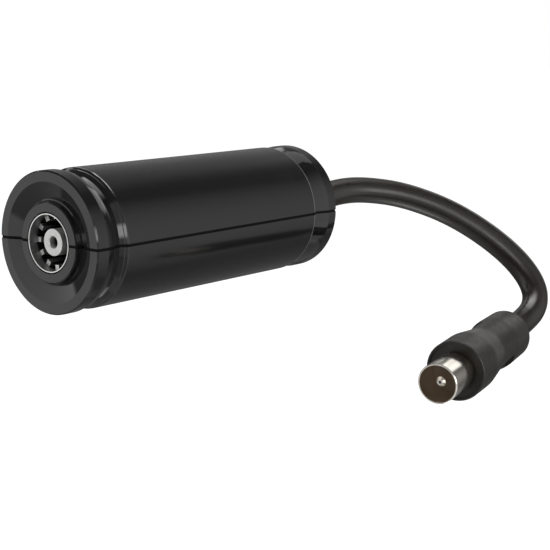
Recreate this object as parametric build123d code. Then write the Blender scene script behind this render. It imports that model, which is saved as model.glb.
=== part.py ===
from build123d import *
import math
import os

# Inline antenna filter: a round two-shell housing with a coaxial socket in its front end,
# and a short coaxial lead from its rear end to a plug. All sizes are in millimetres.
# The housing's axis is Y. The origin is the centre of the socket's mouth, in the plane of
# the front rim. Z is up, and the two shells meet in the plane Z = 0.

# Housing outside
body_radius = 15.0
body_length = 78.8
end_flange = 3.0
groove_shoulder = 1.2
groove_shoulder_drop = 0.25
groove_shoulder_round = 10.0
groove_bottom = 7.0
groove_depth = 1.2
lip_step_start = 7.75
lip_step_end = 7.95
lip_step_depth = 0.5
lip_step_rise = 0.05
lip_edge_bevel = 0.12
groove_end = 8.45
rim_bevel = 0.3
seam_half_width = 0.3
seam_depth = 0.7

# Dished end face and its raised centre boss
dish_rim_radius = 12.68
dish_slope = 0.35
boss_foot_radius = 8.85
boss_face_radius = 8.45
boss_setback = 0.1
boss_edge_bevel = 0.2

# Margin by which a cutting body passes what it cuts, and overlap where walls fuse
cut_margin = 1.0
fuse_overlap = 0.4

# Housing inside
end_wall = 1.8
end_wall_land = 1.4
neck_cavity_radius = 12.3
neck_cover = 0.95
neck_taper = 0.8
main_cavity_radius = 13.1
rib_thickness = 1.5
socket_tube_radius = 8.2
lead_tube_radius = 5.4
lead_tube_length = 3.8
web_thickness = 1.2
web_sink = 1.0
tray_rib_places = (24.0, 46.0)
clamp_rib_places = (65.5, 68.6)
clamp_rib_thickness = 1.2
post_half_width = 1.6
post_offset = 11.35
post_reach = 10.0
post_places = (17.5, 63.0)
peg_half_width = 0.8
peg_height = 2.5
peg_root = 1.0
peg_clearance = 0.06
peg_end_gap = 0.2

# Coaxial socket
sleeve_radius = 6.14
sleeve_bore_radius = 5.92
sleeve_clearance = 0.06
socket_mouth_gap = 0.3
sleeve_flange_radius = 8.6
sleeve_flange_front = 9.2
sleeve_flange_thickness = 1.5
sleeve_tail_radius = 6.5
sleeve_end = 13.8
sleeve_lip = 0.4
sleeve_lip_radius = 4.6
ground_lug_width = 1.8
ground_lug_thickness = 0.5
ground_lug_offset = 5.4
ground_lug_end = 19.0
finger_clearance = 0.02
finger_count = 12
finger_width = 1.07
finger_inner_radius = 4.85
finger_front = 2.35
finger_root = 8.6
contact_radius = 2.81
contact_front = 1.44
contact_bore_radius = 1.2
contact_lead_in = 0.18
contact_bore_depth = 8.0
contact_drill_point = 0.7
contact_stem_radius = 1.6
contact_tail_radius = 0.55
contact_tail_end = 20.5
insulator_front = 10.0

# Filter circuit inside its shield
board_half_width = 8.75
board_thickness = 1.2
board_front = 15.6
board_rear = 56.8
tray_half_width = 9.2
tray_floor = -7.4
tray_rim = 5.2
tray_front = 14.2
tray_rear = 58.2
sheet = 0.4
lead_notch_clearance = 0.1
ledge_reach = 0.6
ledge_length = 3.0
ledge_places = (19.0, 35.0, 51.0)
lid_skirt = 2.0

# Wound parts of square copper wire, with its centre line at the coil radius
coil_wire = 0.5
coil_radius = 2.0
coil_pitch = 1.4
coil_clearance = 0.5
coil_turns = 2
coil_places = {"input_coil": 27.0, "output_coil": 37.0}
choke_turns = 3
choke_place = 44.5
choke_core_length = 9.0
least_wire_gap = 0.4
wire_half_diagonal = coil_wire / math.sqrt(2)

# Disc capacitors stand across the board
disc_radius = 2.3
disc_thickness = 1.8
disc_lift = 0.9
lead_wire_radius = 0.25
disc_lead_spacing = 2.6
disc_places = {
    "input_capacitor": (0.0, 23.0),
    "shunt_capacitor": (-4.6, 32.2),
    "output_capacitor": (0.0, 50.0),
}
chip_size = (2.0, 1.2, 0.7)
chip_places = ((5.2, 22.5), (5.2, 32.2), (-5.6, 50.0), (5.6, 50.0), (-5.2, 22.5))

# Coaxial lead
lead_radius = 3.35
braid_radius = 2.45
dielectric_radius = 2.2
core_wire_radius = 0.55
jacket_end = 64.2
braid_end = 60.0
dielectric_end = 57.0
core_wire_end = 52.8
braid_ferrule_radius = 2.95
braid_ferrule_span = (60.4, 63.6)

# Route of the free lead, from the rear boss to the back of the plug's boot. The plug lies
# in line with the last run, and the short runs before it are the tight turn back.
lead_route = [
    (0.0, 78.7, 0.0),
    (0.0, 86.7, 0.0),
    (2.1, 95.7, 2.0),
    (5.7, 102.9, 2.3),
    (12.8, 112.4, 0.4),
    (22.6, 122.3, -5.1),
    (33.3, 130.2, -14.2),
    (40.5, 132.5, -22.6),
    (43.4, 129.0, -28.6),
    (42.5, 120.9, -32.4),
    (43.7, 113.8, -32.8),
]

# Plug, measured along its own axis from the back of the boot to the tip of the sleeve
plug_length = 46.0
plug_sleeve_radius = 4.75
plug_sleeve_wall = 0.35
plug_sleeve_bevel = 0.12
plug_sleeve_exposed = 10.6
plug_sleeve_root = 28.0
plug_root_radius = 4.55
plug_root_bore_radius = 4.1
plug_root_bore_end = 36.0
plug_shoulder_gap = 0.3
plug_pin_radius = 1.2
plug_pin_root_radius = 1.0
plug_pin_root = 25.0
plug_pin_hole_radius = 0.35
plug_pin_recess = 1.5
plug_pin_bevel = 0.45
plug_insulator_face = 37.5
plug_insulator_back = 29.0
boot_collar_radius = 7.25
boot_waist_radius = 6.15
boot_grip_radius = 6.45
boot_end_radius = 5.6
boot_collar_back = 27.0
boot_waist_place = 19.2
boot_grip_place = 10.0
boot_ring_place = 1.6
boot_ring_step = 0.2
boot_end_flare = 0.5
boot_front_recess = 0.4
boot_front_rim = 0.55
boot_front_bevel = 0.2
boot_blend = 12.0
finger_recess_angle = 42.0
finger_recess_depth = 0.9
finger_recess_width = 6.4
finger_recess_round = 2.8
finger_recess_span = (11.2, 21.0)
crimp_radius = 4.1
crimp_span = (4.0, 16.0)
crimp_blend = 1.0
crimp_neck_wall = 0.5
boot_cavity_radius = 4.4

# Places worked out from the sizes above
groove_rear_start = body_length - groove_end
board_top = -contact_tail_radius
board_bottom = board_top - board_thickness
coil_height = board_top + coil_clearance + coil_wire / 2 + coil_radius
sleeve_flange_rear = sleeve_flange_front + sleeve_flange_thickness
dish_depth = dish_slope * (dish_rim_radius - boss_foot_radius)
rear_boss_face = body_length - boss_setback
plug_sleeve_front = plug_length - plug_sleeve_exposed
boot_recess_floor = plug_sleeve_front - boot_front_recess
plug_sleeve_shoulder = boot_recess_floor + plug_shoulder_gap
plug_pin_shoulder = plug_insulator_face + plug_shoulder_gap


def profile(outline, bevels=(), rounds=()):
    """A half section from (radius, place) points, with its named corners bevelled or rounded."""
    face = make_face(Polyline(*outline, close=True))
    for corner, size in bevels:
        face = chamfer(face.vertices().sort_by_distance((*corner, 0))[0], size)
    for corner, radius in rounds:
        face = fillet(face.vertices().sort_by_distance((*corner, 0))[0], radius)
    return face


def turned(outline, bevels=(), rounds=()):
    """A half section turned about the Y axis."""
    return revolve(profile(outline, bevels, rounds), Axis.Y)


def rod(radius, start, end, x=0.0, z=0.0):
    """A round rod along Y."""
    return Pos(x, (start + end) / 2, z) * Cylinder(radius, end - start, rotation=(90, 0, 0))


def tube(outer, inner, start, end):
    """A tube on the Y axis."""
    return rod(outer, start, end) - rod(inner, start - cut_margin, end + cut_margin)


def block(x_span, y_span, z_span):
    """A block between pairs of limits."""
    spans = (x_span, y_span, z_span)
    centre = [(low + high) / 2 for low, high in spans]
    size = [high - low for low, high in spans]
    return Pos(*centre) * Box(*size)


def end_profile():
    """Half section of one end, out from the axis: boss, dish, rim, flange, sloping groove and stepped lip."""
    lip_step = body_radius - lip_step_depth
    return [
        (0, boss_setback),
        (boss_face_radius, boss_setback),
        (boss_foot_radius, dish_depth),
        (dish_rim_radius, 0),
        (body_radius, 0),
        (body_radius, end_flange),
        (body_radius - groove_shoulder_drop, end_flange + groove_shoulder),
        (body_radius - groove_depth, groove_bottom),
        (lip_step, lip_step_start),
        (lip_step + lip_step_rise, lip_step_end),
        (body_radius, groove_end),
    ]


def at_both_ends(corners):
    """Corners of the front end and their sizes, with the same ones at the rear end."""
    rear = [((radius, body_length - place), size) for (radius, place), size in corners]
    return corners + rear


def housing_section():
    """Half section of the closed housing, whose two ends are alike, with its broken corners."""
    front = end_profile()
    rear = [(radius, body_length - place) for radius, place in reversed(front)]
    bevels = at_both_ends([
        ((boss_face_radius, boss_setback), boss_edge_bevel),
        ((boss_foot_radius, dish_depth), boss_edge_bevel),
        ((body_radius, 0), rim_bevel),
        ((body_radius, groove_end), lip_edge_bevel),
    ])
    rounds = at_both_ends([
        ((body_radius - groove_shoulder_drop, end_flange + groove_shoulder), groove_shoulder_round),
    ])
    return profile(front + rear, bevels, rounds)


def housing_cavity():
    """The space inside the walls, with a tube round the socket and another round the lead."""
    front_wall = dish_depth + end_wall
    rear_wall = body_length - front_wall
    outer_front = dish_slope * (dish_rim_radius - neck_cavity_radius) + end_wall
    outer_rear = body_length - outer_front
    return turned([
        (0, sleeve_flange_front),
        (socket_tube_radius, sleeve_flange_front),
        (socket_tube_radius, front_wall),
        (socket_tube_radius + end_wall_land, front_wall - dish_slope * end_wall_land),
        (neck_cavity_radius, outer_front),
        (neck_cavity_radius, groove_end + neck_cover),
        (main_cavity_radius, groove_end + neck_cover + neck_taper),
        (main_cavity_radius, groove_rear_start - neck_cover - neck_taper),
        (neck_cavity_radius, groove_rear_start - neck_cover),
        (neck_cavity_radius, outer_rear),
        (socket_tube_radius + end_wall_land, rear_wall + dish_slope * end_wall_land),
        (lead_tube_radius, rear_wall),
        (lead_tube_radius, rear_wall - lead_tube_length),
        (0, rear_wall - lead_tube_length),
    ])


def diaphragm(start, thickness):
    """A cross wall that joins the shell wall all round."""
    return rod(main_cavity_radius + fuse_overlap, start, start + thickness)


def end_webs():
    """Radial webs between the two inner tubes and the shell wall, in the four diagonals."""
    front_span = (dish_depth + web_sink, sleeve_flange_front)
    rear_wall = body_length - dish_depth - end_wall
    rear_span = (rear_wall - lead_tube_length, body_length - dish_depth - web_sink)
    half_width = web_thickness / 2
    webs = []
    for inner, span in ((socket_tube_radius, front_span), (lead_tube_radius, rear_span)):
        reach = (inner - fuse_overlap, neck_cavity_radius + fuse_overlap)
        web = block(reach, span, (-half_width, half_width))
        webs += [Rot(0, angle, 0) * web for angle in (45, 135, 225, 315)]
    return webs


def seam_groove():
    """The fine groove that runs round the housing where the two shells meet."""
    face = housing_section()
    inset = offset(face, amount=-seam_depth, kind=Kind.INTERSECTION)
    skin = revolve(face, Axis.Y) - revolve(inset, Axis.Y)
    reach = body_radius + cut_margin
    y_span = (-cut_margin, body_length + cut_margin)
    keep = block((-reach, reach), y_span, (-seam_half_width, seam_half_width))
    return (skin & keep) - rod(sleeve_radius + socket_mouth_gap, *y_span)


def housing():
    """Both shells in one, before they are parted at the seam."""
    body = revolve(housing_section(), Axis.Y) - housing_cavity()
    seat_wall = diaphragm(sleeve_flange_rear, rib_thickness)
    body += seat_wall - rod(sleeve_tail_radius + sleeve_clearance, sleeve_flange_front, sleeve_end)
    tray_space = block(
        (-tray_half_width - sheet, tray_half_width + sheet),
        (tray_front, tray_rear),
        (tray_floor, tray_rim + sheet),
    )
    for place in tray_rib_places:
        body += diaphragm(place, rib_thickness) - tray_space
    body += diaphragm(tray_rear, rib_thickness) - rod(lead_radius, tray_rear - cut_margin, jacket_end)
    for place in clamp_rib_places:
        body += diaphragm(place, clamp_rib_thickness)
    for web in end_webs():
        body += web
    body -= rod(sleeve_radius + socket_mouth_gap, -cut_margin, sleeve_flange_front + cut_margin)
    body -= rod(lead_radius, clamp_rib_places[0] - cut_margin, body_length + cut_margin)
    return body - seam_groove()


def around(centre):
    """The limits of a post about its centre."""
    return (centre - post_half_width, centre + post_half_width)


def shell_posts(side):
    """The four posts that carry the pegs, or their holes, inside one shell."""
    z_span = (0, post_reach) if side > 0 else (-post_reach, 0)
    posts = []
    for x in (-post_offset, post_offset):
        for y in post_places:
            column = block(around(x), around(y), z_span)
            posts.append(column & rod(main_cavity_radius + fuse_overlap, *around(y)))
    return posts


def pegs(half_width, height):
    """Four square pegs, standing up from the seam plane and rooted in the posts below it."""
    places = [(x, y) for x in (-post_offset, post_offset) for y in post_places]
    peg = block((-half_width, half_width), (-half_width, half_width), (-peg_root, height))
    return [Pos(x, y, 0) * peg for x, y in places]


def shells():
    """The upper and the lower shell."""
    whole = housing()
    reach = body_radius + cut_margin
    y_span = (-cut_margin, body_length + cut_margin)
    above = block((-reach, reach), y_span, (0, reach))
    below = block((-reach, reach), y_span, (-reach, 0))
    upper = (whole & above) + shell_posts(1)
    upper -= pegs(peg_half_width + peg_clearance, peg_height + peg_end_gap)
    lower = (whole & below) + shell_posts(-1) + pegs(peg_half_width, peg_height)
    return upper, lower


def socket_sleeve():
    """The socket's outer tube, with the flange that the shells hold and two ground lugs."""
    sleeve = turned([
        (sleeve_bore_radius, boss_setback),
        (sleeve_radius, boss_setback),
        (sleeve_radius, sleeve_flange_front),
        (sleeve_flange_radius, sleeve_flange_front),
        (sleeve_flange_radius, sleeve_flange_rear),
        (sleeve_tail_radius, sleeve_flange_rear),
        (sleeve_tail_radius, sleeve_end),
        (sleeve_lip_radius, sleeve_end),
        (sleeve_lip_radius, sleeve_end - sleeve_lip),
        (sleeve_bore_radius, sleeve_end - sleeve_lip),
    ])
    for side in (-1, 1):
        centre = side * ground_lug_offset
        sleeve += block(
            (centre - ground_lug_width / 2, centre + ground_lug_width / 2),
            (sleeve_end - sleeve_lip, ground_lug_end),
            (board_top, board_top + ground_lug_thickness),
        )
    return sleeve


def socket_spring_fingers():
    """The slotted contact ring: straight-sided spring fingers on a solid root ring."""
    outer = sleeve_bore_radius - finger_clearance
    ring = tube(outer, finger_inner_radius, finger_root, insulator_front)
    wall = tube(outer, finger_inner_radius, finger_front, finger_root)
    blade = block(
        (finger_inner_radius - cut_margin, outer + cut_margin),
        (finger_front, finger_root),
        (-finger_width / 2, finger_width / 2),
    )
    for number in range(finger_count):
        ring += (Rot(0, number * 360 / finger_count, 0) * blade) & wall
    return ring


def socket_insulator():
    """The disc that carries the centre contact inside the sleeve."""
    return tube(sleeve_bore_radius, contact_stem_radius, insulator_front, sleeve_end - sleeve_lip)


def socket_contact():
    """The centre contact: a bored barrel, a stem through the insulator and a solder tail."""
    bore_end = contact_front + contact_bore_depth
    return turned([
        (0, bore_end),
        (contact_bore_radius, bore_end - contact_drill_point),
        (contact_bore_radius, contact_front + contact_lead_in),
        (contact_bore_radius + contact_lead_in, contact_front),
        (contact_radius, contact_front),
        (contact_radius, insulator_front),
        (contact_stem_radius, insulator_front),
        (contact_stem_radius, sleeve_end),
        (contact_tail_radius, sleeve_end),
        (contact_tail_radius, contact_tail_end),
        (0, contact_tail_end),
    ])


def shield_tray():
    """A folded sheet trough, open at the socket end, with ledges that the board rests on."""
    inner = tray_half_width - sheet
    tray = block((-tray_half_width, tray_half_width), (tray_front, tray_rear), (tray_floor, tray_rim))
    inside = (tray_front - cut_margin, tray_rear - sheet)
    tray -= block((-inner, inner), inside, (tray_floor + sheet, tray_rim + cut_margin))
    notch = dielectric_radius + lead_notch_clearance
    rear_wall = (tray_rear - cut_margin, tray_rear + cut_margin)
    tray -= block((-notch, notch), rear_wall, (0, tray_rim + cut_margin))
    tray -= rod(notch, *rear_wall)
    for side in (-1, 1):
        x_span = sorted((side * inner, side * (inner - ledge_reach)))
        for place in ledge_places:
            y_span = (place - ledge_length / 2, place + ledge_length / 2)
            tray += block(x_span, y_span, (board_bottom - sheet, board_bottom))
    return tray


def shield_lid():
    """The sheet lid, with skirts that clip down over the tray's sides."""
    reach = tray_half_width + sheet
    lid = block((-reach, reach), (tray_front, tray_rear), (tray_rim - lid_skirt, tray_rim + sheet))
    width = (-tray_half_width, tray_half_width)
    length = (tray_front - cut_margin, tray_rear + cut_margin)
    return lid - block(width, length, (tray_rim - lid_skirt - cut_margin, tray_rim))


def circuit_board():
    """The filter's circuit board, lying on the tray's ledges."""
    width = (-board_half_width, board_half_width)
    return block(width, (board_front, board_rear), (board_bottom, board_top))


def winding_edges(centre_y, turns):
    """The centre line of a winding that lies across the board.

    A leg rises from the board, half circles go over and under in turn, and a leg goes down.
    """
    x = -(turns / 2 + 0.25) * coil_pitch
    side = -coil_radius
    rise = math.hypot(coil_pitch / 2, 2 * coil_radius) / 2
    start = (x, centre_y + side, coil_height)
    edges = [Line((x, centre_y + side, board_top), start)]
    for _ in range(2 * turns + 1):
        middle = (x + coil_pitch / 4, centre_y, coil_height + rise)
        x += coil_pitch / 2
        side = -side
        rise = -rise
        end = (x, centre_y + side, coil_height)
        edges.append(ThreePointArc(start, middle, end))
        start = end
    edges.append(Line(start, (x, centre_y + side, board_top)))
    return edges


def wound_wire(centre_y, turns, name):
    """A winding's wire, swept in one piece, with the gap between its turns measured."""
    edges = winding_edges(centre_y, turns)
    arcs = edges[1:-1]
    gaps = [arc.distance(next_turn) for arc, next_turn in zip(arcs, arcs[2:])]
    gap = min(gaps) - 2 * wire_half_diagonal
    print(f"{name}: least gap between turns {gap:.2f} mm")
    assert gap > least_wire_gap
    section = Plane(origin=edges[0] @ 0, z_dir=(0, 0, 1)) * Rectangle(coil_wire, coil_wire)
    return sweep(section, path=Wire(edges))


def choke_core():
    """The ferrite rod inside the choke's winding."""
    rod_radius = coil_radius - wire_half_diagonal
    return Pos(0, choke_place, coil_height) * Cylinder(rod_radius, choke_core_length, rotation=(0, 90, 0))


def disc_capacitor(x, y):
    """A disc capacitor standing on two wire leads."""
    centre = board_top + disc_lift + disc_radius
    body = rod(disc_radius, y - disc_thickness / 2, y + disc_thickness / 2, x, centre)
    for side in (-1, 1):
        lead_x = x + side * disc_lead_spacing / 2
        lead_span = (lead_x - lead_wire_radius, lead_x + lead_wire_radius)
        body += block(lead_span, (y - lead_wire_radius, y + lead_wire_radius), (board_top, centre))
    return body


def chip_components():
    """Five small chip components soldered flat on the board."""
    return [Pos(x, y, board_top + chip_size[2] / 2) * Box(*chip_size) for x, y in chip_places]


def lead_path():
    """The free lead's centre line: straight runs joined by arcs as large as the runs allow."""
    points = [Vector(*point) for point in lead_route]
    runs = [after - before for before, after in zip(points, points[1:])]
    radii = []
    for before, after in zip(runs, runs[1:]):
        turn = math.radians(before.get_angle(after))
        radii.append(0.45 * min(before.length, after.length) / math.tan(turn / 2))
    print("lead radii:", ", ".join(f"{radius:.1f}" for radius in radii))
    return FilletPolyline(*points, radius=radii)


def free_lead():
    """The outer jacket of the free lead, from the housing to the plug."""
    path = lead_path()
    section = Plane(origin=lead_route[0], z_dir=(0, 1, 0)) * Circle(lead_radius)
    jacket = sweep(section, path=path)
    expected = math.pi * lead_radius**2 * path.length
    print(f"lead length {path.length:.1f} mm, volume {jacket.volume:.0f} of {expected:.0f} mm3")
    return jacket


def placed_on_plug(piece):
    """Move a piece from the plug's own Y axis, 0 at the back of the boot, to its place."""
    back = Vector(*lead_route[-1])
    axis = (back - Vector(*lead_route[-2])).normalized()
    across = axis.cross(Vector(0, 0, 1)).normalized()
    frame = Plane(origin=back, x_dir=across, z_dir=across.cross(axis))
    return frame.location * piece


def plug_boot():
    """The moulded boot: a collar, a waist, a swelling grip and two finger recesses."""
    outline = [
        (lead_radius, 0),
        (boot_end_radius, 0),
        (boot_end_radius + boot_end_flare, boot_ring_place),
        (boot_end_radius + boot_end_flare + boot_ring_step, boot_ring_place),
        (boot_grip_radius, boot_grip_place),
        (boot_waist_radius, boot_waist_place),
        (boot_collar_radius, boot_collar_back),
        (boot_collar_radius, plug_sleeve_front),
        (boot_collar_radius - boot_front_rim, plug_sleeve_front),
        (boot_collar_radius - boot_front_rim, boot_recess_floor),
        (plug_root_radius, boot_recess_floor),
        (plug_root_radius, plug_sleeve_root),
        (boot_cavity_radius, plug_sleeve_root),
        (boot_cavity_radius, crimp_span[0]),
        (lead_radius, crimp_span[0]),
    ]
    boot = turned(
        outline,
        bevels=[((boot_collar_radius, plug_sleeve_front), boot_front_bevel)],
        rounds=[
            ((boot_grip_radius, boot_grip_place), boot_blend),
            ((boot_waist_radius, boot_waist_place), boot_blend),
            ((boot_collar_radius, boot_collar_back), boot_blend),
        ],
    )
    half_width = finger_recess_width / 2
    floor = boot_grip_radius - finger_recess_depth
    scoop = block((floor, boot_collar_radius), finger_recess_span, (-half_width, half_width))
    scoop = fillet(scoop.edges().filter_by(Axis.X), finger_recess_round)
    for turn in (0, 180):
        boot -= Rot(0, -finger_recess_angle + turn, 0) * scoop
    return boot


def plug_sleeve():
    """The plug's bright outer sleeve: a root that the boot grips, a shoulder and a bevelled edge."""
    bore = plug_sleeve_radius - plug_sleeve_wall
    outline = [
        (plug_root_bore_radius, plug_sleeve_root),
        (plug_root_radius, plug_sleeve_root),
        (plug_root_radius, plug_sleeve_shoulder),
        (plug_sleeve_radius, plug_sleeve_shoulder),
        (plug_sleeve_radius, plug_length),
        (bore, plug_length),
        (bore, plug_root_bore_end),
        (plug_root_bore_radius, plug_root_bore_end),
    ]
    return turned(outline, bevels=[((plug_sleeve_radius, plug_length), plug_sleeve_bevel)])


def plug_insulator():
    """The stepped insulator, pushed into the sleeve from the front until its step seats."""
    bore = plug_sleeve_radius - plug_sleeve_wall
    return turned([
        (plug_pin_root_radius, plug_insulator_back),
        (plug_root_bore_radius, plug_insulator_back),
        (plug_root_bore_radius, plug_root_bore_end),
        (bore, plug_root_bore_end),
        (bore, plug_insulator_face),
        (plug_pin_root_radius, plug_insulator_face),
    ])


def plug_pin():
    """The centre pin: hollow, with a thinner root in the insulator and a tapered tip."""
    tip = plug_length - plug_pin_recess
    outline = [
        (plug_pin_hole_radius, plug_pin_root),
        (plug_pin_root_radius, plug_pin_root),
        (plug_pin_root_radius, plug_pin_shoulder),
        (plug_pin_radius, plug_pin_shoulder),
        (plug_pin_radius, tip),
        (plug_pin_hole_radius, tip),
    ]
    return turned(outline, bevels=[((plug_pin_radius, tip), plug_pin_bevel)])


def plug_crimp():
    """The crimped ring that holds the lead's braid inside the boot, with a neck to the sleeve."""
    return turned([
        (lead_radius, crimp_span[0]),
        (crimp_radius, crimp_span[0]),
        (crimp_radius, crimp_span[1]),
        (boot_cavity_radius, crimp_span[1] + crimp_blend),
        (boot_cavity_radius, plug_sleeve_root),
        (boot_cavity_radius - crimp_neck_wall, plug_sleeve_root),
        (boot_cavity_radius - crimp_neck_wall, crimp_span[1] + crimp_blend),
        (lead_radius, crimp_span[1]),
    ])


def plug_lead_end():
    """The jacket and dielectric of the lead inside the boot."""
    jacket = rod(lead_radius, 0, crimp_span[1])
    return jacket + rod(dielectric_radius, crimp_span[1], plug_pin_root)


def lead_pieces():
    """The layers of the lead inside the housing, stripped back in steps."""
    return {
        "lead_jacket_end": tube(lead_radius, braid_radius, jacket_end, rear_boss_face),
        "lead_braid": tube(braid_radius, dielectric_radius, braid_end, rear_boss_face),
        "lead_dielectric": tube(dielectric_radius, core_wire_radius, dielectric_end, rear_boss_face),
        "lead_core_wire": rod(core_wire_radius, core_wire_end, rear_boss_face),
        "braid_ferrule": tube(braid_ferrule_radius, braid_radius, *braid_ferrule_span),
    }


def all_pieces():
    """Every piece of the object, by its node's name."""
    upper, lower = shells()
    pieces = {
        "upper_shell": upper,
        "lower_shell": lower,
        "socket_sleeve": socket_sleeve(),
        "socket_spring_fingers": socket_spring_fingers(),
        "socket_insulator": socket_insulator(),
        "socket_contact": socket_contact(),
        "shield_tray": shield_tray(),
        "shield_lid": shield_lid(),
        "circuit_board": circuit_board(),
        "choke_core": choke_core(),
        "choke_winding": wound_wire(choke_place, choke_turns, "choke_winding"),
        "chip_components": Compound(children=chip_components()),
        "lead": free_lead(),
    }
    for name, place in coil_places.items():
        pieces[name] = wound_wire(place, coil_turns, name)
    for name, (x, y) in disc_places.items():
        pieces[name] = disc_capacitor(x, y)
    pieces.update(lead_pieces())
    plug_pieces = {
        "plug_boot": plug_boot(),
        "plug_sleeve": plug_sleeve(),
        "plug_insulator": plug_insulator(),
        "plug_pin": plug_pin(),
        "plug_crimp": plug_crimp(),
        "plug_lead_end": plug_lead_end(),
    }
    for name, piece in plug_pieces.items():
        pieces[name] = placed_on_plug(piece)
    return pieces


os.makedirs("parts", exist_ok=True)
for node, piece in all_pieces().items():
    export_step(piece, f"parts/{node}.step")
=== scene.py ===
import math

import bmesh
import bpy
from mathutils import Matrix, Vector


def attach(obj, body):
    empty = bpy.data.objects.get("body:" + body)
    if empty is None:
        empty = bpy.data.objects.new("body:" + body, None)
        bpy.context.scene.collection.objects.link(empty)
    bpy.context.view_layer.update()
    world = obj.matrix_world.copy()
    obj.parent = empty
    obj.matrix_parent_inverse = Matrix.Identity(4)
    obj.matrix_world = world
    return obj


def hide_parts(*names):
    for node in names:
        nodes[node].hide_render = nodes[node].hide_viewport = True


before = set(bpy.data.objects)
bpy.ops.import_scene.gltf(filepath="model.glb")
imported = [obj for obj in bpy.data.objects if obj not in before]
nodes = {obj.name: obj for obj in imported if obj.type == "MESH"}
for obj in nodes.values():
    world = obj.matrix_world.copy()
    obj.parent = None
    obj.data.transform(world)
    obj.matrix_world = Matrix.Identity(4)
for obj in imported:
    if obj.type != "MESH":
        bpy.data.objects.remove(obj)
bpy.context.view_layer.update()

mm = 0.001
towardsRight, alongHousing, upwards = (1, 0, 0), (0, 1, 0), (0, 0, 1)
white = (1, 1, 1)
print("frame loaded")


def inMetres(point):
    return Vector(value * mm for value in point)


def addToScene(name, data):
    made = bpy.data.objects.new(name, data)
    bpy.context.scene.collection.objects.link(made)
    return made


# Camera: a little above the socket end, looking along the housing's right side
view = {
    "at": (203.3, -174.1, 41.97),
    "azimuth": 39.4,
    "elevation": 10.443,
    "lens": 85.2,
    "clip": (0.01, 50),
}


def makeCamera():
    camera = addToScene("camera", bpy.data.cameras.new("camera"))
    camera.data.lens = view["lens"]
    camera.data.clip_start, camera.data.clip_end = view["clip"]
    camera.location = inMetres(view["at"])
    tilt = math.radians(90 - view["elevation"])
    camera.rotation_euler = (tilt, 0, math.radians(view["azimuth"]))
    bpy.context.scene.camera = camera


makeCamera()
print("camera placed")

# The free lead, from the middle of the rear boss to the back of the plug's boot. Its steps
# are the divisions of each run of the curve, and its sides those of a quarter of its round.
leadForm = {
    "route": [
        (0.0, 78.7, 0.0),
        (0.0, 86.7, 0.0),
        (2.1, 95.7, 2.0),
        (5.7, 102.9, 2.3),
        (12.8, 112.4, 0.4),
        (22.6, 122.3, -5.1),
        (33.3, 130.2, -14.2),
        (40.5, 132.5, -22.6),
        (43.4, 129.0, -28.6),
        (42.5, 120.9, -32.4),
        (43.7, 113.8, -32.8),
    ],
    "radius": 3.35,
    "length": 102.1,
    "steps": 24,
    "sides": 12,
}


def makeLead():
    curve = bpy.data.curves.new("lead_cord", "CURVE")
    curve.dimensions = "3D"
    curve.resolution_u = leadForm["steps"]
    curve.bevel_depth = 1.0  # times each point's radius
    curve.bevel_resolution = leadForm["sides"]
    curve.use_fill_caps = True
    spline = curve.splines.new("NURBS")
    spline.points.add(len(leadForm["route"]) - 1)
    for point, place in zip(spline.points, leadForm["route"]):
        point.co = (*inMetres(place), 1)
        point.radius = leadForm["radius"] * mm
    spline.order_u = 3
    spline.use_endpoint_u = True
    lead = addToScene("lead_cord", curve)
    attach(lead, "root")
    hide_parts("lead")
    return lead


lead = makeLead()
inMetres(leadForm["route"][0])
beforeLast, plugBack = leadForm["route"][-2:]
plugAxis = tuple((Vector(plugBack) - Vector(beforeLast)).normalized())
print("lead laid")


# Lip of the lower shell that fills the seam's groove to just below the surface: its half
# outline at the front end, from beside the socket to the body, as radius and place
seamForm = {
    "outline": [
        (6.6, 0.1),
        (8.45, 0.1),
        (8.85, 1.34),
        (12.68, 0.0),
        (15.0, 0.0),
        (15.0, 3.0),
        (14.75, 4.2),
        (13.8, 7.0),
        (14.5, 7.75),
        (14.55, 7.95),
        (15.0, 8.45),
    ],
    "rearStart": (3.6, 0.1),
    "length": 78.8,
    "sunk": 0.25,
    "height": 0.4,
    "halfWidth": 0.27,
}


def insetLine(points, amount):
    # the points moved inwards, square to the line on both sides of each
    sides = []
    for first, second in zip(points, points[1:]):
        step = (Vector(second) - Vector(first)).normalized()
        sides.append(Vector((-step.y, step.x)))
    moved = []
    for point, before, after in zip(points, sides[:1] + sides, sides + sides[-1:]):
        moved.append(Vector(point) + (before + after) * (amount / (1 + before.dot(after))))
    return moved


def makeSeamLip():
    front = seamForm["outline"]
    rear = [seamForm["rearStart"]] + front[1:]
    line = front + [(radius, seamForm["length"] - place) for radius, place in reversed(rear)]
    outer = insetLine(line, seamForm["sunk"])
    inner = insetLine(line, seamForm["sunk"] + seamForm["height"])
    half = seamForm["halfWidth"]
    corners, faces = [], []
    for side in (-1, 1):  # left and right of the axis
        first = len(corners)
        for near, far in zip(outer, inner):
            ring = ((near, half), (near, -half), (far, -half), (far, half))
            corners += [inMetres((side * point.x, point.y, height)) for point, height in ring]
        last = len(corners) - 4
        for start in range(first, last, 4):
            for i in range(4):
                after = (i + 1) % 4
                faces.append((start + i, start + after, start + 4 + after, start + 4 + i))
        faces += [tuple(range(first, first + 4)), tuple(range(last, last + 4))]
    mesh = bpy.data.meshes.new("seam_lip")
    mesh.from_pydata(corners, [], faces)
    made = addToScene("seam_lip", mesh)
    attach(made, "root")
    return made


seamLip = makeSeamLip()
print("seam filled")


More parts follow.
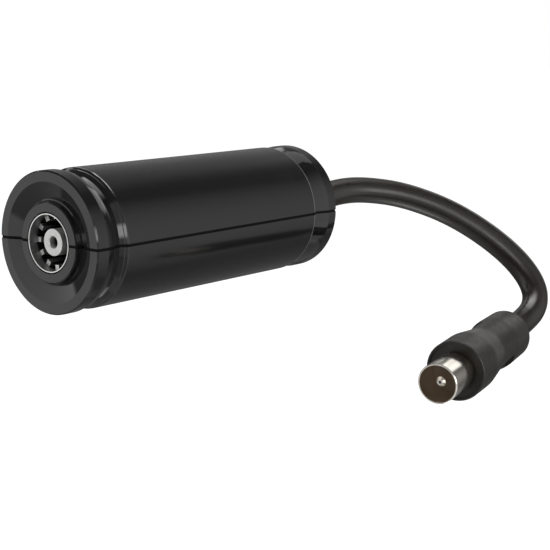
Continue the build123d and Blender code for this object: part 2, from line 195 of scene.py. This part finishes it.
class Link:
    # One output socket, with sums written as sums
    def __init__(self, finish, socket):
        self.finish = finish
        self.socket = socket

    def __add__(self, other):
        return self.finish.maths("ADD", self, other)

    def __radd__(self, other):
        return self.finish.maths("ADD", other, self)

    def __sub__(self, other):
        return self.finish.maths("SUBTRACT", self, other)

    def __rsub__(self, other):
        return self.finish.maths("SUBTRACT", other, self)

    def __mul__(self, other):
        return self.finish.maths("MULTIPLY", self, other)

    def __rmul__(self, other):
        return self.finish.maths("MULTIPLY", other, self)

    def __gt__(self, other):
        return self.finish.maths("GREATER_THAN", self, other)

    def __lt__(self, other):
        return self.finish.maths("LESS_THAN", self, other)

    def __abs__(self):
        return self.finish.maths("ABSOLUTE", self)


class Finish:
    # One material, or the world, and its nodes. Sizes and depths are in millimetres.
    def __init__(self, name, owner=None):
        self.owner = owner or bpy.data.materials.new(name)
        self.owner.use_nodes = True
        self.tree = self.owner.node_tree
        self.tree.nodes.clear()

    def node(self, kind, settings=None, values=None, output=0):
        made = self.tree.nodes.new(kind)
        for name, value in (settings or {}).items():
            setattr(made, name, value)
        for name, value in (values or {}).items():
            socket = made.inputs[name]
            if isinstance(value, Link):
                self.tree.links.new(value.socket, socket)
            elif socket.type == "RGBA":
                socket.default_value = (*value, 1)
            else:
                socket.default_value = value
        return Link(self, made.outputs[output]) if made.outputs else made

    def maths(self, operation, first, second=0.0):
        return self.node("ShaderNodeMath", {"operation": operation}, {0: first, 1: second})

    def vectors(self, operation, values, output="Vector"):
        return self.node("ShaderNodeVectorMath", {"operation": operation}, values, output)

    def place(self):
        # the piece's own place in the frame, in metres
        return self.node("ShaderNodeTexCoord", None, None, "Object")

    def along(self, axis, of=None):
        # distance along an axis, or the share of any vector that lies along it
        reach = self.vectors("DOT_PRODUCT", {0: of or self.place(), 1: axis}, "Value")
        return reach if of else reach * (1 / mm)

    def fromAxis(self):
        # distance from the housing's axis
        flat = self.vectors("MULTIPLY", {0: self.place(), 1: (1, 0, 1)})
        return self.vectors("LENGTH", {0: flat}, "Value") * (1 / mm)

    def noise(self, size, detail=3.0, rough=0.5, stretch=(1, 1, 1)):
        # size is the grain's size
        stretched = self.node("ShaderNodeMapping", None, {"Vector": self.place(), "Scale": stretch})
        values = {"Vector": stretched, "Scale": 1 / (size * mm), "Detail": detail, "Roughness": rough}
        return self.node("ShaderNodeTexNoise", None, values)

    def cells(self, size, scatter=1.0):
        values = {"Vector": self.place(), "Scale": 1 / (size * mm), "Randomness": scatter}
        return self.node("ShaderNodeTexVoronoi", None, values)

    def rings(self, axis, size):
        # fine turning marks, which change only along the axis
        values = {"W": self.along(axis), "Scale": 1 / size, "Detail": 4.0, "Roughness": 0.6}
        return self.node("ShaderNodeTexNoise", {"noise_dimensions": "1D"}, values)

    def between(self, value, low, high, start=0.0, end=1.0):
        limits = {"Value": value, "From Min": start, "From Max": end, "To Min": low, "To Max": high}
        return self.node("ShaderNodeMapRange", None, limits)

    def patches(self, patch, most=1.0):
        # patch is a noise's size, detail and roughness, then where it starts and is full
        return self.between(self.noise(*patch[:3]), 0.0, most, *patch[3:])

    def fading(self, distance, width, most=1.0):
        # most up to the first width, and nothing from the second
        return self.between(distance, most, 0.0, *width)

    def mixed(self, share, first, second):
        return self.node("ShaderNodeMix", {"data_type": "RGBA"}, {0: share, 6: first, 7: second}, 2)

    def bump(self, height, depth, under=None):
        # depth is the height of a full step
        values = {"Height": height, "Distance": depth * mm}
        if under is not None:
            values["Normal"] = under
        return self.node("ShaderNodeBump", None, values)

    def close(self, values):
        shader = self.node("ShaderNodeBsdfPrincipled", None, values)
        self.node("ShaderNodeOutputMaterial", None, {"Surface": shader})
        return self.owner


def shade(colour, amount):
    return tuple(amount * value for value in colour)


# Housing: satin black moulded plastic, smoother at its two ends, with a finely textured boss
# round the socket, wear along the edges and a painted highlight along the rear lip's edge. Here
# and in the next dictionaries a noise is given by its size, detail and roughness. Patches of it
# say after those where they start and are full. A pair of numbers for rough or metal is a range.
housingLook = {
    "colour": (0.008, 0.0078, 0.0078),
    "pale": 1.25,
    "clouds": (14.0, 2.0),
    "worn": (0.032, 0.031, 0.03),
    "specks": (0.5, 2.0, 0.6, 0.7, 0.78),
    "speckShare": 0.35,
    "rub": (1.6, 5.0, 0.65, 0.52, 0.66),
    "wearShare": 0.5,
    "wearRough": 0.15,
    "outside": 14.4,
    "edges": (0.0, 3.0, 8.45, 70.35, 75.8, 78.8),
    "edgeWidth": (0.05, 0.6),
    # painted highlight along the rear lip's edge: where it is, how wide, how strong, and its colour
    "rearLipHighlight": {"place": 70.3, "width": (0.14, 0.34), "share": 0.9, "colour": (0.16, 0.158, 0.154)},
    "body": (8.45, 70.35),
    "haze": (5.0, 4.0, 0.6),
    "rough": (0.13, 0.2),
    "endRough": (0.05, 0.1),
    "wave": (11.0, 1.0),
    "waveDepth": 0.012,
    "grain": (0.22, 2.0),
    "grainDepth": 0.0012,
    "bossRadius": 8.4,
    "bossRough": 0.12,
    "bossGrain": (0.34, 1.0),
    "bossDepth": 0.03,
}


def housingPlastic():
    look, lip = housingLook, housingLook["rearLipHighlight"]
    f = Finish("housing plastic")
    reach = f.along(alongHousing)
    outer = f.fromAxis() > look["outside"]
    boss = f.fromAxis() < look["bossRadius"]
    nearEdge = 0.0
    for edge in look["edges"]:
        nearEdge = f.fading(abs(reach - edge), look["edgeWidth"]) + nearEdge
    wear = nearEdge * outer * f.patches(look["rub"])
    tint = f.mixed(f.noise(*look["clouds"]), look["colour"], shade(look["colour"], look["pale"]))
    tint = f.mixed(f.patches(look["specks"], look["speckShare"]), tint, look["worn"])
    tint = f.mixed(wear * look["wearShare"], tint, look["worn"])
    # painted highlight: a pale ring all the way round the rear lip's edge
    paintedLipHighlight = outer * f.fading(abs(reach - lip["place"]), lip["width"], lip["share"])
    tint = f.mixed(paintedLipHighlight, tint, lip["colour"])
    start, end = look["body"]
    body = (reach > start) * (reach < end)
    haze = f.noise(*look["haze"])
    ends = f.between(haze, *look["endRough"])
    rough = body * (f.between(haze, *look["rough"]) - ends) + ends
    rough = rough + wear * look["wearRough"] + boss * look["bossRough"]
    normal = f.bump(f.noise(*look["wave"]), look["waveDepth"])
    normal = f.bump(f.noise(*look["grain"]), look["grainDepth"], normal)
    normal = f.bump(f.noise(*look["bossGrain"]) * boss, look["bossDepth"], normal)
    return f.close({"Base Color": tint, "Roughness": rough, "Normal": normal})


# The lip in the seam: dead black as painted shade, far darker than the housing plastic, with a fine grain and
# faint dust
seamLook = {
    "colour": (0.0015, 0.0015, 0.0015),
    "dusty": (0.006, 0.006, 0.006),
    "dust": (0.8, 4.0, 0.6, 0.55, 0.8),
    "haze": (0.3, 2.0),
    "rough": (0.6, 0.8),
    "grain": (0.15, 2.0),
    "grainDepth": 0.01,
    "gloss": 0.15,
}


def seamPaintedShade():
    look = seamLook
    f = Finish("seam painted shade")
    # painted shade: the lip's dead black colour, with a little paler dust
    tint = f.mixed(f.patches(look["dust"]), look["colour"], look["dusty"])
    rough = f.between(f.noise(*look["haze"]), *look["rough"])
    normal = f.bump(f.noise(*look["grain"]), look["grainDepth"])
    values = {"Base Color": tint, "Roughness": rough, "Normal": normal}
    return f.close({**values, "Specular IOR Level": look["gloss"]})


# Nickel plate over turned or drawn brass: bright, with painted shade, darker and olive, towards
# the plug's boot, or dull, with painted shade down the hole of the socket's contact. The painted
# shade starts and is full at the two distances along the piece's axis, and stays within a radius
# from the housing's.
nickelLook = {
    "bright": {
        "colour": (0.95, 0.905, 0.82),
        "film": (0.84, 0.785, 0.69),
        "rough": (0.08, 0.2),
        "metal": 1.0,
        # painted shade: darker and olive towards the plug's boot and deep inside the sleeve
        "paintedShade": {"reach": (-64.6, -67.0), "within": 100.0, "colour": (0.34, 0.3, 0.2)},
    },
    "dull": {
        "colour": (0.62, 0.62, 0.61),
        "film": (0.5, 0.5, 0.49),
        "rough": (0.34, 0.46),
        "metal": 0.6,
        # painted shade down the hole of the socket's contact
        "paintedShade": {"reach": (2.2, 3.3), "within": 1.3, "colour": (0.02, 0.02, 0.02)},
    },
    "films": (2.4, 5.0, 0.6, 0.45, 0.75),
    "filmShare": 0.7,
    "haze": (1.2, 4.0, 0.6),
    "ring": 0.16,
    "ringRough": 0.06,
    "ringDepth": 0.0012,
    "pits": (0.6, 3.0),
    "pitDepth": 0.0015,
}


def nickelPlate(name, axis, kind="bright"):
    look, plate = nickelLook, nickelLook[kind]
    paintedShade = plate["paintedShade"]
    f = Finish(name)
    tint = f.mixed(f.patches(look["films"], look["filmShare"]), plate["colour"], plate["film"])
    # painted shade: the colour darkens along the axis, within the radius
    shadedDeep = f.between(f.along(axis), 0.0, 1.0, *paintedShade["reach"]) * (f.fromAxis() < paintedShade["within"])
    tint = f.mixed(shadedDeep, tint, paintedShade["colour"])
    rings = f.rings(axis, look["ring"])
    rough = f.between(f.noise(*look["haze"]), *plate["rough"]) + rings * look["ringRough"]
    normal = f.bump(rings, look["ringDepth"])
    normal = f.bump(f.noise(*look["pits"]), look["pitDepth"], normal)
    return f.close({"Base Color": tint, "Metallic": plate["metal"], "Roughness": rough, "Normal": normal})


# Inside of the socket: bright faces, with painted shade on the walls behind them and darker
# painted shade deeper in. A face ends, and the deeper painted shade starts and is full, at these
# distances from the socket's mouth.
socketLook = {
    "sleeve": {
        "face": (0.72, 0.72, 0.7),
        "faceEnd": 0.16,
        "wall": (0.18, 0.18, 0.178),
        "shadedDeep": (1.9, 2.5),
    },
    "fingers": {
        "face": (0.96, 0.96, 0.94),
        "faceEnd": 2.42,
        "wall": (0.2, 0.2, 0.195),
        "shadedDeep": (2.5, 7.0),
    },
    # painted shade deep in the socket
    "paintedShade": (0.012, 0.012, 0.012),
    "film": (0.9, 4.0, 0.6),
    "rough": (0.32, 0.44),
    "metal": (0.5, 0.75),
    "grain": (0.5, 3.0),
    "grainDepth": 0.003,
}


def socketPlate(name):
    look, piece = socketLook, socketLook[name]
    f = Finish("socket " + name)
    reach = f.along(alongHousing)
    # painted shade: walls darkened, and darker still further into the socket
    tint = f.mixed(f.between(reach, 0.0, 1.0, *piece["shadedDeep"]), piece["wall"], look["paintedShade"])
    tint = f.mixed(reach < piece["faceEnd"], tint, piece["face"])
    film = f.noise(*look["film"])
    rough = f.between(film, *look["rough"])
    metal = f.between(film, *look["metal"])
    normal = f.bump(f.noise(*look["grain"]), look["grainDepth"])
    return f.close({"Base Color": tint, "Metallic": metal, "Roughness": rough, "Normal": normal})


# Moulded insulators: matte, with faint flow marks
insulatorLook = {
    "socket": (0.055, 0.055, 0.055),
    "plug": (0.19, 0.137, 0.1),
    "shades": (0.8, 1.25),
    "flow": (3.0, 3.0, 0.6, (1.0, 0.4, 1.0)),
    "flowDepth": 0.02,
    "haze": (0.7, 3.0),
    "rough": (0.45, 0.62),
    "grain": (0.25, 2.0),
    "grainDepth": 0.006,
}


def mouldedInsulator(name):
    look = insulatorLook
    f = Finish(name + " insulator")
    flow = f.noise(*look["flow"])
    tint = f.mixed(flow, *(shade(look[name], amount) for amount in look["shades"]))
    rough = f.between(f.noise(*look["haze"]), *look["rough"])
    normal = f.bump(f.noise(*look["grain"]), look["grainDepth"], f.bump(flow, look["flowDepth"]))
    return f.close({"Base Color": tint, "Roughness": rough, "Normal": normal})


# Lead jacket: satin brown-black plastic, lightly scuffed
jacketLook = {
    "colour": (0.0078, 0.0058, 0.0042),
    "pale": (0.016, 0.0122, 0.009),
    "clouds": (6.0, 4.0, 0.6),
    "scuffed": (0.06, 0.054, 0.046),
    "scuff": (0.9, 4.0, 0.7, 0.58, 0.74),
    "scuffShare": 0.2,
    "scuffRough": 0.05,
    "haze": (2.2, 4.0, 0.6),
    "rough": (0.22, 0.38),
    "wave": (9.0, 1.0),
    "waveDepth": 0.08,
    "grain": (0.3, 3.0, 0.6),
    "grainDepth": 0.012,
}

# Boot: fine matte rubbery moulding, smoother where it is handled
bootLook = {
    "colour": (0.0075, 0.0063, 0.0052),
    "pale": (0.0145, 0.0123, 0.0102),
    "clouds": (4.0, 4.0, 0.6),
    "scuffed": (0.06, 0.055, 0.048),
    "scuff": (1.5, 5.0, 0.65, 0.5, 0.68),
    "scuffShare": 0.15,
    "scuffRough": -0.08,
    "haze": (1.8, 4.0, 0.6),
    "rough": (0.36, 0.5),
    "wave": (6.0, 1.0),
    "waveDepth": 0.04,
    "grain": (0.36, 2.0, 0.6),
    "grainDepth": 0.022,
}


def softBlack(name, look):
    f = Finish(name)
    scuff = f.patches(look["scuff"])
    tint = f.mixed(f.noise(*look["clouds"]), look["colour"], look["pale"])
    tint = f.mixed(scuff * look["scuffShare"], tint, look["scuffed"])
    rough = f.between(f.noise(*look["haze"]), *look["rough"]) + scuff * look["scuffRough"]
    normal = f.bump(f.noise(*look["wave"]), look["waveDepth"])
    normal = f.bump(f.noise(*look["grain"]), look["grainDepth"], normal)
    return f.close({"Base Color": tint, "Roughness": rough, "Normal": normal})


# Tinned sheet of the shield, with rolling streaks and a dull spangle
sheetLook = {
    "colour": (0.62, 0.62, 0.6),
    "pale": (0.76, 0.76, 0.75),
    "spangle": 5.0,
    "spangleEdge": (0.1, 0.7),
    "streaked": (0.45, 0.44, 0.42),
    "streaks": (0.5, 4.0, 0.6, (1.0, 0.06, 1.0)),
    "streakEdge": (0.5, 0.8),
    "streakShare": 0.5,
    "streakDepth": 0.006,
    "rough": (0.28, 0.46),
    "haze": 3.0,
    "hazeRough": 0.08,
}


def tinnedSheet():
    look = sheetLook
    f = Finish("tinned sheet")
    streaks = f.noise(*look["streaks"])
    spangle = f.between(f.cells(look["spangle"]), 0.0, 1.0, *look["spangleEdge"])
    streaked = f.between(streaks, 0.0, look["streakShare"], *look["streakEdge"])
    tint = f.mixed(spangle, look["pale"], look["colour"])
    tint = f.mixed(streaked, tint, look["streaked"])
    rough = f.between(streaks, *look["rough"]) + f.noise(look["haze"]) * look["hazeRough"]
    normal = f.bump(streaks, look["streakDepth"])
    return f.close({"Base Color": tint, "Metallic": 1.0, "Roughness": rough, "Normal": normal})


# Circuit board: green lacquer over copper tracks, with tinned pads. A track is the place of
# its middle and half its width.
boardLook = {
    "lacquer": (0.02, 0.12, 0.05),
    "overTrack": (0.05, 0.22, 0.1),
    "edge": (0.42, 0.38, 0.22),
    "pads": (0.55, 0.55, 0.53),
    "middleTrack": 0.9,
    "sideTracks": (5.4, 0.7),
    "crossTrack": (32.2, 0.6),
    "trackDepth": 0.03,
    "topAbove": -0.56,
    "padPitch": 1 / 0.26,
    "padSize": 0.22,
    "weave": (0.4, 2.0, 0.5),
    "weaveDepth": 0.006,
    "rough": (0.25, 0.4),
}


def circuitBoard():
    look = boardLook
    f = Finish("circuit board")
    across, reach = f.along(towardsRight), f.along(alongHousing)
    sidePlace, sideHalf = look["sideTracks"]
    crossPlace, crossHalf = look["crossTrack"]
    tracks = abs(across) < look["middleTrack"]
    tracks = tracks + (abs(abs(across) - sidePlace) < sideHalf) + (abs(reach - crossPlace) < crossHalf)
    pads = (f.cells(look["padPitch"], 0.0) < look["padSize"]) * tracks
    tint = f.mixed(f.between(tracks, 0.0, 1.0), look["lacquer"], look["overTrack"])
    tint = f.mixed(f.between(pads, 0.0, 1.0), tint, look["pads"])
    tint = f.mixed(f.along(upwards) > look["topAbove"], look["edge"], tint)
    weave = f.noise(*look["weave"])
    rough = f.between(weave, *look["rough"])
    normal = f.bump(tracks, look["trackDepth"], f.bump(weave, look["weaveDepth"]))
    return f.close({"Base Color": tint, "Roughness": rough, "Normal": normal})


# Sintered ferrite: dark grey, grainy, with tiny bright grains
ferriteLook = {
    "colour": (0.032, 0.032, 0.036),
    "pale": (0.07, 0.07, 0.075),
    "clouds": (1.4, 4.0, 0.6),
    "grain": 0.25,
    "grainColour": (0.12, 0.12, 0.125),
    "grainEdge": (0.0, 0.25),
    "grainShare": 0.5,
    "grainDepth": 0.02,
    "haze": (0.5, 3.0),
    "rough": (0.5, 0.72),
}


def sinteredFerrite():
    look = ferriteLook
    f = Finish("sintered ferrite")
    grain = f.cells(look["grain"])
    tint = f.mixed(f.noise(*look["clouds"]), look["colour"], look["pale"])
    tint = f.mixed(f.fading(grain, look["grainEdge"], look["grainShare"]), tint, look["grainColour"])
    rough = f.between(f.noise(*look["haze"]), *look["rough"])
    normal = f.bump(grain, look["grainDepth"])
    return f.close({"Base Color": tint, "Roughness": rough, "Normal": normal})


# Enamelled copper wire
copperLook = {
    "colour": (0.62, 0.26, 0.12),
    "pale": (0.8, 0.42, 0.22),
    "clouds": (1.8, 4.0, 0.6),
    "haze": (0.8, 3.0),
    "rough": (0.18, 0.34),
    "grain": (0.5, 3.0),
    "grainDepth": 0.006,
    "enamel": 0.5,
    "enamelRough": 0.15,
}


def copperWire():
    look = copperLook
    f = Finish("enamelled copper")
    tint = f.mixed(f.noise(*look["clouds"]), look["colour"], look["pale"])
    rough = f.between(f.noise(*look["haze"]), *look["rough"])
    normal = f.bump(f.noise(*look["grain"]), look["grainDepth"])
    values = {"Base Color": tint, "Metallic": 1.0, "Roughness": rough, "Normal": normal}
    return f.close({**values, "Coat Weight": look["enamel"], "Coat Roughness": look["enamelRough"]})


# Dipped capacitors: orange-brown coating with an uneven skin, and tinned leads below it
capacitorLook = {
    "colour": (0.5, 0.24, 0.07),
    "pale": (0.62, 0.34, 0.12),
    "leads": (0.66, 0.65, 0.63),
    "leadTop": 0.35,
    "skin": (0.9, 2.0, 0.5),
    "skinDepth": 0.05,
    "rough": (0.24, 0.42),
}


def dippedCoating():
    look = capacitorLook
    f = Finish("dipped coating")
    skin = f.noise(*look["skin"])
    body = f.along(upwards) > look["leadTop"]
    tint = f.mixed(body, look["leads"], f.mixed(skin, look["colour"], look["pale"]))
    rough = f.between(skin, *look["rough"])
    normal = f.bump(skin, look["skinDepth"])
    return f.close({"Base Color": tint, "Metallic": 1.0 - body, "Roughness": rough, "Normal": normal})


# Chip components: ceramic bodies with tinned ends. Both rows stand at the same distance on
# each side of the board's middle, and the rear ones a little further out.
chipLook = {
    "colour": (0.24, 0.17, 0.11),
    "pale": (0.36, 0.27, 0.19),
    "clouds": (0.6, 3.0),
    "ends": (0.68, 0.67, 0.65),
    "middle": 5.2,
    "rearFrom": 45.0,
    "rearShift": 0.4,
    "halfBody": 0.62,
    "haze": (0.4, 3.0),
    "rough": (0.34, 0.55),
    "grain": (0.3, 2.0),
    "grainDepth": 0.015,
}


def ceramicChips():
    look = chipLook
    f = Finish("ceramic chips")
    middle = look["middle"] + (f.along(alongHousing) > look["rearFrom"]) * look["rearShift"]
    ends = abs(abs(f.along(towardsRight)) - middle) > look["halfBody"]
    tint = f.mixed(ends, f.mixed(f.noise(*look["clouds"]), look["colour"], look["pale"]), look["ends"])
    rough = f.between(f.noise(*look["haze"]), *look["rough"])
    normal = f.bump(f.noise(*look["grain"]), look["grainDepth"])
    return f.close({"Base Color": tint, "Metallic": ends, "Roughness": rough, "Normal": normal})


# The lead's braid: two sets of strands crossing on the slant
braidLook = {
    "colour": (0.5, 0.47, 0.42),
    "bright": (0.74, 0.71, 0.66),
    "pitch": 0.8,
    "radius": 2.45,
    "rough": (0.42, 0.26),
    "depth": 0.12,
}


def wovenBraid():
    look = braidLook
    f = Finish("woven braid")
    reach = f.along(alongHousing)
    around = f.maths("ARCTAN2", f.along(upwards), f.along(towardsRight)) * look["radius"]
    turns = 2 * math.pi / look["pitch"]
    first = f.maths("SINE", (reach + around) * turns)
    second = f.maths("SINE", (reach - around) * turns)
    weave = f.between(first * second, 0.0, 1.0, -1.0, 1.0)
    tint = f.mixed(weave, look["colour"], look["bright"])
    rough = f.between(weave, *look["rough"])
    normal = f.bump(weave, look["depth"])
    return f.close({"Base Color": tint, "Metallic": 1.0, "Roughness": rough, "Normal": normal})


# Foamed dielectric: milky white with fine cells
foamLook = {
    "colour": (0.76, 0.76, 0.73),
    "pale": (0.86, 0.86, 0.84),
    "clouds": (2.0, 3.0),
    "cell": 0.35,
    "cellDepth": 0.02,
    "rough": (0.5, 0.7),
}


def foamDielectric():
    look = foamLook
    f = Finish("foam dielectric")
    foam = f.cells(look["cell"])
    tint = f.mixed(f.noise(*look["clouds"]), look["colour"], look["pale"])
    rough = f.between(foam, *look["rough"])
    normal = f.bump(foam, look["cellDepth"])
    return f.close({"Base Color": tint, "Roughness": rough, "Normal": normal})


def dressNodes():
    jacket = softBlack("lead jacket", jacketLook)
    finishes = {
        housingPlastic(): ["upper_shell", "lower_shell"],
        socketPlate("sleeve"): ["socket_sleeve"],
        socketPlate("fingers"): ["socket_spring_fingers"],
        mouldedInsulator("socket"): ["socket_insulator"],
        nickelPlate("dull nickel", alongHousing, "dull"): ["socket_contact"],
        tinnedSheet(): ["shield_tray", "shield_lid"],
        circuitBoard(): ["circuit_board"],
        sinteredFerrite(): ["choke_core"],
        copperWire(): ["choke_winding", "input_coil", "output_coil", "lead_core_wire"],
        dippedCoating(): ["input_capacitor", "shunt_capacitor", "output_capacitor"],
        ceramicChips(): ["chip_components"],
        jacket: ["lead_jacket_end", "plug_lead_end"],
        wovenBraid(): ["lead_braid"],
        foamDielectric(): ["lead_dielectric"],
        nickelPlate("socket nickel", alongHousing): ["braid_ferrule"],
        softBlack("boot plastic", bootLook): ["plug_boot"],
        mouldedInsulator("plug"): ["plug_insulator"],
        nickelPlate("plug nickel", plugAxis): ["plug_sleeve", "plug_pin", "plug_crimp"],
    }
    for material, names in finishes.items():
        for name in names:
            nodes[name].material_slots[0].material = material
    lead.data.materials.append(jacket)
    # the seam lip gets painted shade, dead black
    seamLip.data.materials.append(seamPaintedShade())


dressNodes()
print("finishes applied")

# Studio, in metres: pale floor, white surroundings and three soft lamps, all aimed at the
# middle of the part. The floor glows white where it is seen, and its shadowed part keeps the
# shadow.
studio = {
    "middle": (0.015, 0.05, -0.01),
    "floor": {
        "height": -0.14,
        "reach": 6.0,
        "colour": (0.8, 0.8, 0.8),
        "glow": 0.9,
        "shadowed": (0.3, 0.3, 0.3),
    },
    "worldLight": 0.45,
    "lamps": {
        "key": {"at": (-0.30, -0.62, 0.42), "size": 0.45, "power": 3.2},
        "fill": {"at": (0.75, 0.05, 0.35), "size": 0.5, "power": 1.6},
        "back": {"at": (0.1, 0.85, 0.55), "size": 0.5, "power": 1.2},
    },
}

# Light tent, which only reflections see: dark cloth with one round glow and square panels on
# it. Azimuth 0 is straight behind the housing and 90 is its right side, in degrees. The glow
# is full at its middle and gone at its edge, and a panel is soft over its border's width.
tent = {
    "radius": 3.0,
    "sides": (64, 32),
    "cloth": 0.1,
    "glow": {"azimuth": 75, "elevation": 0, "edge": 60, "strength": 0.88},
    "panels": {
        "right": {"azimuth": (54, 98), "elevation": (-24, 40), "border": 14, "strength": 0.2},
        "right window": {"azimuth": (96, 111), "elevation": (-5, 20), "border": 7, "strength": 4.5},
        "front right": {"azimuth": (127, 149), "elevation": (-22, 45), "border": 4, "strength": 0.5},
        "front window": {"azimuth": (120, 141), "elevation": (2, 17), "border": 5, "strength": 4.5},
        "low right": {"azimuth": (50, 170), "elevation": (-80, -22), "border": 8, "strength": 0.3},
        "behind": {"azimuth": (-31, 4), "elevation": (-10, 22), "border": 5, "strength": 0.7},
        "high behind": {"azimuth": (-20, 12), "elevation": (20, 32), "border": 4, "strength": 1.1},
        "behind left": {"azimuth": (-65, -4), "elevation": (6, 49), "border": 20, "strength": 0.21},
        "low behind": {"azimuth": (-75, 35), "elevation": (-50, -22), "border": 8, "strength": 0.07},
        "left": {"azimuth": (-90, -43.5), "elevation": (30, 51), "border": 2, "strength": 1.5},
        "top": {"azimuth": (-70, 18), "elevation": (51, 70), "border": 3, "strength": 1.0},
        "overhead": {"azimuth": (-185, 185), "elevation": (74, 106), "border": 5, "strength": 7.0},
        "overhead left": {"azimuth": (-112, -45), "elevation": (62, 74), "border": 5, "strength": 8.0},
        "overhead right": {"azimuth": (45, 85), "elevation": (67, 74), "border": 5, "strength": 3.0},
        "below": {"azimuth": (-185, 185), "elevation": (-130, -50), "border": 4, "strength": 0.33},
        "underneath": {"azimuth": (-185, 185), "elevation": (-102, -78), "border": 4, "strength": 3.0},
        "front left": {"azimuth": (-169, -109), "elevation": (-20, 37), "border": 2, "strength": 0.98},
        "front left below": {"azimuth": (-175, -109), "elevation": (-42, -20), "border": 2, "strength": 0.28},
    },
}


def seenDirectly(f):
    # 1 for rays that show the surroundings as they look: camera, reflections and glass
    kinds = ("Is Camera Ray", "Is Glossy Ray", "Is Transmission Ray")
    camera, glossy, glass = [f.node("ShaderNodeLightPath", None, None, kind) for kind in kinds]
    return f.between(camera + glossy + glass, 0.0, 1.0)


def makeFloor():
    form = studio["floor"]
    f = Finish("floor")
    plain = f.node("ShaderNodeBsdfDiffuse", None, {"Color": form["colour"]})
    glow = f.node("ShaderNodeEmission", None, {"Color": white, "Strength": form["glow"]})
    shadowed = f.node("ShaderNodeBsdfDiffuse", None, {"Color": form["shadowed"]})
    pale = f.node("ShaderNodeAddShader", None, {0: glow, 1: shadowed})
    shader = f.node("ShaderNodeMixShader", None, {0: seenDirectly(f), 1: plain, 2: pale})
    f.node("ShaderNodeOutputMaterial", None, {"Surface": shader})
    around = ((-1, -1), (1, -1), (1, 1), (-1, 1))
    corners = [(x * form["reach"], y * form["reach"], form["height"]) for x, y in around]
    mesh = bpy.data.meshes.new("floor")
    mesh.from_pydata(corners, [], [(0, 1, 2, 3)])
    mesh.materials.append(f.owner)
    made = addToScene("floor", mesh)
    made.visible_glossy = False  # reflections show the tent


def makeWorld():
    world = bpy.data.worlds.new("surroundings")
    bpy.context.scene.world = world
    f = Finish("surroundings", world)
    strength = f.between(seenDirectly(f), studio["worldLight"], 1.0)
    sky = f.node("ShaderNodeBackground", None, {"Color": white, "Strength": strength})
    f.node("ShaderNodeOutputWorld", None, {"Surface": sky})


def makeLamps():
    for name, lamp in studio["lamps"].items():
        light = bpy.data.lights.new(name, "AREA")
        light.energy = lamp["power"]
        light.size = lamp["size"]
        made = addToScene(name, light)
        made.location = lamp["at"]
        towards = Vector(studio["middle"]) - Vector(lamp["at"])
        made.rotation_euler = towards.to_track_quat("-Z", "Y").to_euler()
        made.visible_glossy = False  # reflections show the tent's panels


def heading(azimuth, elevation):
    # the unit vector towards an azimuth and elevation in degrees
    azimuth, elevation = math.radians(azimuth), math.radians(elevation)
    level = math.cos(elevation)
    return (math.sin(azimuth) * level, math.cos(azimuth) * level, math.sin(elevation))


def softEdge(span, border):
    # how far from a panel's middle its border starts and ends
    return (span - border) / 2, (span + border) / 2


def tentLight():
    f = Finish("tent")
    away = f.vectors("SUBTRACT", {0: f.place(), 1: studio["middle"]})
    away = f.vectors("NORMALIZE", {0: away})
    height = f.maths("ARCSINE", f.along(upwards, of=away)) * math.degrees(1)
    glow = tent["glow"]
    facing = f.along(heading(glow["azimuth"], glow["elevation"]), of=away)
    light = f.between(facing, 0.0, glow["strength"], math.cos(math.radians(glow["edge"]))) + tent["cloth"]
    for panel in tent["panels"].values():
        left, right = panel["azimuth"]
        low, high = panel["elevation"]
        middle = (left + right) / 2
        ahead = f.along(heading(middle, 0), of=away)
        aside = f.along(heading(middle + 90, 0), of=away)
        turn = f.maths("ARCTAN2", aside, ahead) * math.degrees(1)
        rise = height - (low + high) / 2
        across = f.fading(abs(turn), softEdge(right - left, panel["border"]), panel["strength"])
        light = across * f.fading(abs(rise), softEdge(high - low, panel["border"])) + light
    glowing = f.node("ShaderNodeEmission", None, {"Color": light, "Strength": 1.0})
    f.node("ShaderNodeOutputMaterial", None, {"Surface": glowing})
    f.owner.cycles.emission_sampling = "NONE"
    return f.owner


def makeTent():
    around, upAndDown = tent["sides"]
    shape = bmesh.new()
    bmesh.ops.create_uvsphere(shape, u_segments=around, v_segments=upAndDown, radius=tent["radius"])
    bmesh.ops.translate(shape, vec=Vector(studio["middle"]), verts=shape.verts)
    mesh = bpy.data.meshes.new("tent")
    shape.to_mesh(mesh)
    shape.free()
    mesh.materials.append(tentLight())
    made = addToScene("tent", mesh)
    made.visible_camera = False
    made.visible_diffuse = False
    made.visible_transmission = False
    made.visible_shadow = False


makeFloor()
makeWorld()
makeLamps()
makeTent()
bpy.context.scene.view_settings.view_transform = "Standard"
bpy.context.view_layer.update()
print("studio set")
